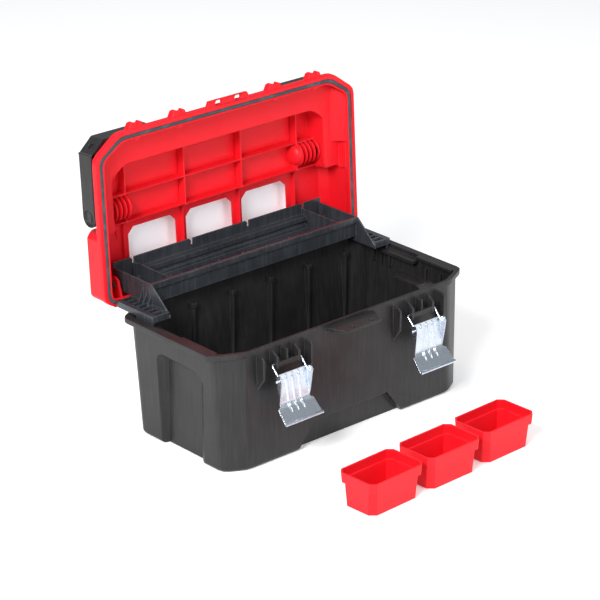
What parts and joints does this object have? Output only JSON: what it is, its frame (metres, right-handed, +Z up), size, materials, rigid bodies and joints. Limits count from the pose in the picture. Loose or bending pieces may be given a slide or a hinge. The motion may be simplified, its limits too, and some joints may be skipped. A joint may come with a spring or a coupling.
{
  "type": "toolbox with tray",
  "caption": "Moulded toolbox with a hinged lid, a tray that travels with the lid, metal draw latches, a folding carry handle and loose bins.",
  "frame": {"origin": "on the floor plane, under the middle of the box body's foot", "axes": "+X along the box to the right end, -Y to the latch side, +Z up"},
  "size_m": [0.514, 0.5838, 0.4597],
  "materials": {
    "black_plastic": "fine matt moulded texture",
    "tray_plastic": "satin moulded",
    "red_plastic": "satin moulded",
    "gasket_rubber": "matt extruded",
    "zinc_plate": "bright zinc plating on pressed steel",
    "steel_pin": "drawn steel",
    "cloudy_clear": "cloudy translucent moulded"
  },
  "bodies": {
    "box": {"body_shell": "black_plastic", "lid_hinge_pin_left": "steel_pin", "lid_hinge_pin_right": "steel_pin"},
    "lid": {"lid_shell": "red_plastic", "lid_gasket": "gasket_rubber", "handle_pivot_left": "black_plastic", "handle_pivot_right": "black_plastic", "tray_pin_left": "black_plastic", "tray_pin_right": "black_plastic", "cover_hinge_pin_left": "steel_pin", "cover_hinge_pin_right": "steel_pin"},
    "tray": {"tray": "tray_plastic"},
    "handle": {"carry_handle": "black_plastic"},
    "cover": {"organiser_cover": "cloudy_clear"},
    "cover_latch_left": {"cover_latch_left": "red_plastic"},
    "cover_latch_right": {"cover_latch_right": "red_plastic"},
    "bail_left": {"latch_bail_left": "zinc_plate"},
    "bail_right": {"latch_bail_right": "zinc_plate"},
    "lever_left": {"latch_lever_left": "zinc_plate"},
    "lever_right": {"latch_lever_right": "zinc_plate"},
    "bin_left": {"bin_left": "red_plastic"},
    "bin_middle": {"bin_middle": "red_plastic"},
    "bin_right": {"bin_right": "red_plastic"}
  },
  "joints": [
    {"name": "lid_hinge", "type": "hinge", "parent": "box", "child": "lid", "pos_m": [0, 0.13, 0.1815], "axis": [1, 0, 0], "range_deg": [0, 93.3]},
    {"name": "tray_pivot", "type": "hinge", "parent": "lid", "child": "tray", "pos_m": [0, 0.164, 0.209], "axis": [1, 0, 0], "range_deg": [-93.3, 0]},
    {"name": "handle_swing", "type": "hinge", "parent": "lid", "child": "handle", "pos_m": [0, 0.18611, 0.31549], "axis": [-1, 0, 0], "range_deg": [0, 90]},
    {"name": "cover_hinge", "type": "hinge", "parent": "lid", "child": "cover", "pos_m": [0, 0.20642, 0.19012], "axis": [-1, 0, 0], "range_deg": [0, 105]},
    {"name": "cover_latch_left_flip", "type": "hinge", "parent": "cover", "child": "cover_latch_left", "pos_m": [-0.088, 0.21854, 0.28918], "axis": [-1, 0, 0], "range_deg": [0, 70]},
    {"name": "bail_left_swing", "type": "hinge", "parent": "box", "child": "bail_left", "pos_m": [-0.136, -0.132, 0.1585], "axis": [-1, 0, 0], "range_deg": [0, 92]},
    {"name": "lever_left_swing", "type": "hinge", "parent": "bail_left", "child": "lever_left", "pos_m": [-0.136, -0.15, 0.14], "axis": [-1, 0, 0], "range_deg": [0, 60]},
    {"name": "cover_latch_right_flip", "type": "hinge", "parent": "cover", "child": "cover_latch_right", "pos_m": [0.088, 0.21854, 0.28918], "axis": [-1, 0, 0], "range_deg": [0, 70]},
    {"name": "bail_right_swing", "type": "hinge", "parent": "box", "child": "bail_right", "pos_m": [0.136, -0.132, 0.1585], "axis": [-1, 0, 0], "range_deg": [0, 92]},
    {"name": "lever_right_swing", "type": "hinge", "parent": "bail_right", "child": "lever_right", "pos_m": [0.136, -0.15, 0.14], "axis": [-1, 0, 0], "range_deg": [0, 60]},
    {"name": "bin_left_lift", "type": "slide", "parent": "box", "child": "bin_left", "axis": [0, 0, 1], "range_m": [0, 0.25]},
    {"name": "bin_middle_lift", "type": "slide", "parent": "box", "child": "bin_middle", "axis": [0, 0, 1], "range_m": [0, 0.25]},
    {"name": "bin_right_lift", "type": "slide", "parent": "box", "child": "bin_right", "axis": [0, 0, 1], "range_m": [0, 0.25]}
  ],
  "couplings": [
    {"joint": "tray_pivot", "follows": "lid_hinge", "ratio": -1}
  ]
}
